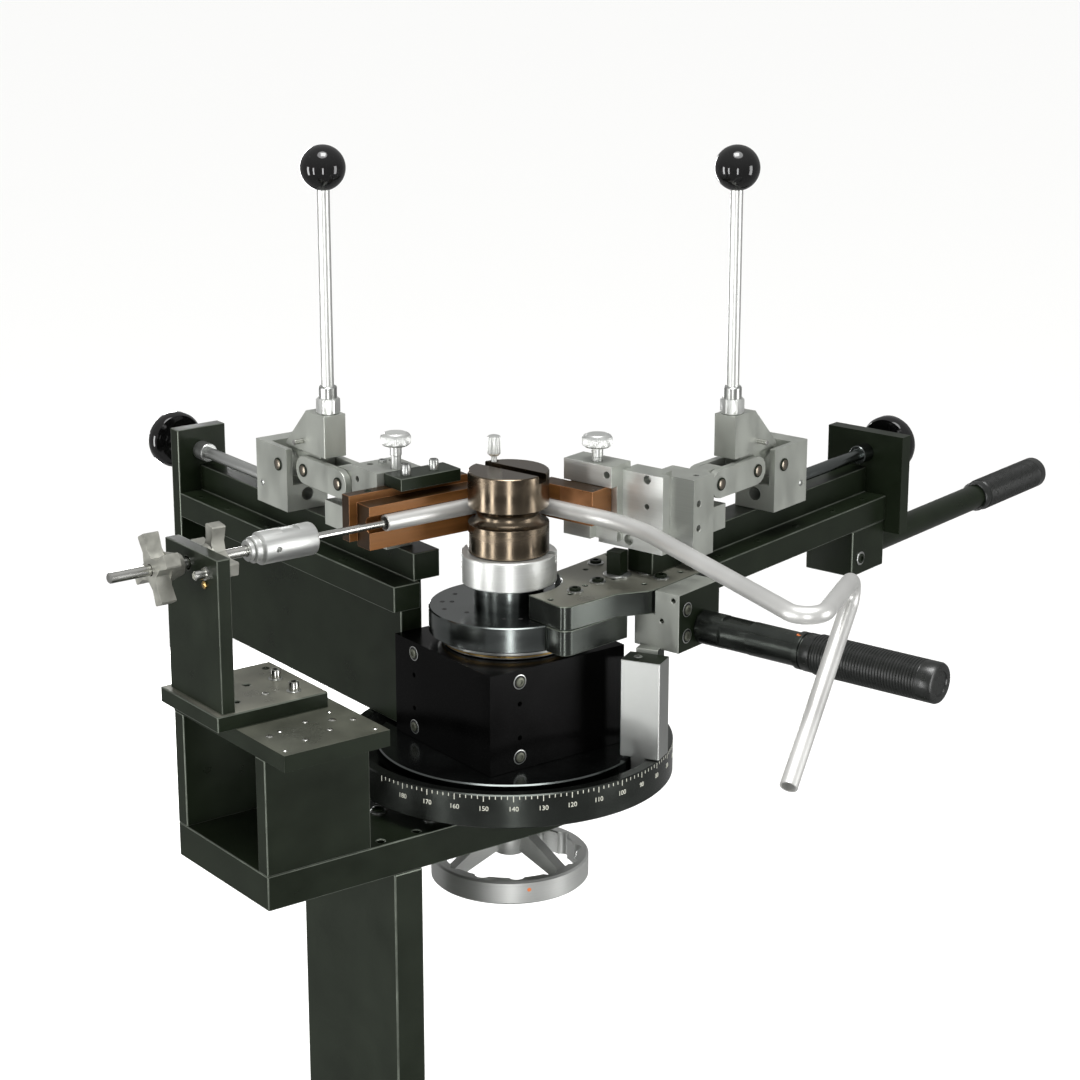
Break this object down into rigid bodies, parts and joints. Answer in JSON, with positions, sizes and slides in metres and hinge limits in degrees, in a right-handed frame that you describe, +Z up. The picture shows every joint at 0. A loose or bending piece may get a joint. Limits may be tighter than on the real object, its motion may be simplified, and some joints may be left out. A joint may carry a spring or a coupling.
{
  "type": "manual tube bender",
  "caption": "Pedestal tube bender with a swing arm, a bend die, toggle-clamped pressure and clamp dies, an angle stop on a dial ring, a mandrel rod and a bent tube",
  "frame": {"origin": "on the bend axis at floor level, under the centre of the foot plate", "axes": "+Z up; +X is the tube's feed direction, from the mandrel bracket to the bend die; +Y is the way the pressure arm points. At rest the swing arm points 15 degrees from +X towards +Y"},
  "size_m": [1.0072, 0.7697, 1.2832],
  "materials": {
    "black_steel": "black oxide on machined steel, satin",
    "bright_steel": "bare machined steel, fine brushing",
    "bright_screw": "polished rod",
    "toggle_metal": "brushed aluminium blocks",
    "die_steel": "turned tool steel, straw brown tint",
    "die_bronze": "brown bronze with worn bright edges",
    "tube_aluminium": "mill-finish tube",
    "gloss_black": "polished phenolic",
    "grip_rubber": "ribbed moulded rubber"
  },
  "bodies": {
    "stand": {"foot_plate": "black_steel", "pedestal_post": "black_steel", "pedestal_rib": "black_steel", "base_beam": "black_steel", "riser_front_wall": "black_steel", "riser_back_wall": "black_steel", "riser_top_plate": "black_steel", "mandrel_bracket_foot": "black_steel", "mandrel_bracket_upright": "black_steel", "turret_disc": "black_steel", "turret_block": "black_steel", "bearing_ring": "bright_steel", "pressure_rail_web": "black_steel", "pressure_rail": "black_steel", "pressure_end_plate": "black_steel"},
    "stop_ring": {"dial_ring": "black_steel", "angle_stop_post": "bright_steel"},
    "lock_wheel": {"handwheel": "bright_steel", "clamp_stud": "bright_steel"},
    "mandrel_nuts": {"star_knob_outer": "toggle_metal", "star_knob_inner": "toggle_metal"},
    "mandrel": {"mandrel_rod": "bright_screw", "mandrel_coupling": "toggle_metal"},
    "infeed": {"tube_infeed": "tube_aluminium"},
    "swing": {"spindle": "black_steel", "spacer_ring": "toggle_metal", "bend_die": "die_steel", "swing_arm_upper_plate": "black_steel", "swing_arm_lower_plate": "black_steel", "clamp_rail": "black_steel", "clamp_end_plate": "black_steel", "handle_block": "bright_steel", "front_handle": "black_steel", "front_grip": "grip_rubber", "rear_handle_block": "black_steel", "rear_handle": "black_steel", "rear_grip": "grip_rubber", "tube_free_end": "tube_aluminium"},
    "lock_pin": {"die_lock_pin": "bright_screw"},
    "pressure_screw": {"pressure_lead_screw": "bright_screw", "pressure_screw_knob": "gloss_black"},
    "pressure_slide_block": {"pressure_rear_block": "toggle_metal"},
    "pressure_lever": {"pressure_lever_body": "toggle_metal", "pressure_lever_rod": "bright_steel", "pressure_ball_knob": "gloss_black"},
    "pressure_link": {"pressure_toggle_link": "toggle_metal"},
    "pressure_jaw": {"pressure_jaw_carrier": "toggle_metal", "pressure_die": "die_bronze", "pressure_cap_plate": "black_steel"},
    "pressure_jaw_screw": {"pressure_thumb_screw": "bright_steel"},
    "clamp_screw": {"clamp_lead_screw": "bright_screw", "clamp_screw_knob": "gloss_black"},
    "clamp_slide_block": {"clamp_rear_block": "toggle_metal"},
    "clamp_lever": {"clamp_lever_body": "toggle_metal", "clamp_lever_rod": "bright_steel", "clamp_ball_knob": "gloss_black"},
    "clamp_link": {"clamp_toggle_link": "toggle_metal"},
    "clamp_jaw": {"clamp_jaw_carrier": "toggle_metal", "clamp_die": "die_bronze"},
    "clamp_jaw_screw": {"clamp_thumb_screw": "bright_steel"}
  },
  "joints": [
    {"name": "swing", "type": "hinge", "parent": "stand", "child": "swing", "pos_m": [0, 0, 0.93], "axis": [0, 0, 1], "range_deg": [0, 75]},
    {"name": "stop_ring_turn", "type": "hinge", "parent": "stand", "child": "stop_ring", "pos_m": [0, 0, 0.82], "axis": [0, 0, 1], "range_deg": [-105, 0]},
    {"name": "lock_wheel_turn", "type": "hinge", "parent": "stand", "child": "lock_wheel", "pos_m": [0, 0, 0.73], "axis": [0, 0, 1], "continuous": true},
    {"name": "mandrel_nut_turn", "type": "hinge", "parent": "stand", "child": "mandrel_nuts", "pos_m": [-0.26, 0.0315, 1.016], "axis": [1, 0, 0], "range_deg": [-721, 721]},
    {"name": "mandrel_slide", "type": "slide", "parent": "stand", "child": "mandrel", "axis": [1, 0, 0], "range_m": [-0.0025, 0.0025]},
    {"name": "tube_feed", "type": "slide", "parent": "stand", "child": "infeed", "axis": [1, 0, 0], "range_m": [-0.05, 0]},
    {"name": "lock_pin_lift", "type": "slide", "parent": "swing", "child": "lock_pin", "axis": [0, 0, 1], "range_m": [0, 0.012]},
    {"name": "pressure_screw_turn", "type": "hinge", "parent": "stand", "child": "pressure_screw", "pos_m": [-0.06, 0.367, 0.997], "axis": [0, 1, 0], "range_deg": [-2, 1442]},
    {"name": "pressure_block_slide", "type": "slide", "parent": "stand", "child": "pressure_slide_block", "axis": [0, 1, 0], "range_m": [0, 0.008]},
    {"name": "pressure_lever_turn", "type": "hinge", "parent": "pressure_slide_block", "child": "pressure_lever", "pos_m": [-0.06, 0.207, 1.022], "axis": [-1, 0, 0], "range_deg": [0, 60]},
    {"name": "pressure_link_turn", "type": "hinge", "parent": "pressure_lever", "child": "pressure_link", "pos_m": [-0.06, 0.1785, 1.022], "axis": [-1, 0, 0], "range_deg": [-89.5, 0]},
    {"name": "pressure_jaw_slide", "type": "slide", "parent": "pressure_slide_block", "child": "pressure_jaw", "axis": [0, 1, 0], "range_m": [0, 0.021]},
    {"name": "pressure_jaw_screw_turn", "type": "hinge", "parent": "pressure_jaw", "child": "pressure_jaw_screw", "pos_m": [-0.058, 0.067, 1.06], "axis": [0, 0, 1], "range_deg": [-720, 720]},
    {"name": "clamp_screw_turn", "type": "hinge", "parent": "swing", "child": "clamp_screw", "pos_m": [0.39645, 0.02341, 0.997], "axis": [0.9659, 0.2588, 0], "range_deg": [-2, 1442]},
    {"name": "clamp_block_slide", "type": "slide", "parent": "swing", "child": "clamp_slide_block", "axis": [0.9659, 0.2588, 0], "range_m": [0, 0.008]},
    {"name": "clamp_lever_turn", "type": "hinge", "parent": "clamp_slide_block", "child": "clamp_lever", "pos_m": [0.2419, -0.01801, 1.022], "axis": [-0.2588, 0.9659, 0], "range_deg": [0, 60]},
    {"name": "clamp_link_turn", "type": "hinge", "parent": "clamp_lever", "child": "clamp_link", "pos_m": [0.21437, -0.02538, 1.022], "axis": [-0.2588, 0.9659, 0], "range_deg": [-89.5, 0]},
    {"name": "clamp_jaw_slide", "type": "slide", "parent": "clamp_slide_block", "child": "clamp_jaw", "axis": [0.9659, 0.2588, 0], "range_m": [0, 0.021]},
    {"name": "clamp_jaw_screw_turn", "type": "hinge", "parent": "clamp_jaw", "child": "clamp_jaw_screw", "pos_m": [0.06805, -0.02214, 1.06], "axis": [0, 0, 1], "range_deg": [-720, 720]}
  ],
  "couplings": [
    {"joint": "mandrel_nut_turn", "follows": "mandrel_slide", "rad_per_m": 5026.5},
    {"joint": "tube_feed", "follows": "swing", "m_per_rad": -0.03785},
    {"joint": "pressure_screw_turn", "follows": "pressure_block_slide", "rad_per_m": 3141.6},
    {"joint": "pressure_link_turn", "follows": "pressure_lever_turn", "ratio": -1.4824},
    {"joint": "pressure_jaw_slide", "follows": "pressure_lever_turn", "m_per_rad": 0.01967},
    {"joint": "clamp_screw_turn", "follows": "clamp_block_slide", "rad_per_m": 3141.6},
    {"joint": "clamp_link_turn", "follows": "clamp_lever_turn", "ratio": -1.4824},
    {"joint": "clamp_jaw_slide", "follows": "clamp_lever_turn", "m_per_rad": 0.01967}
  ]
}
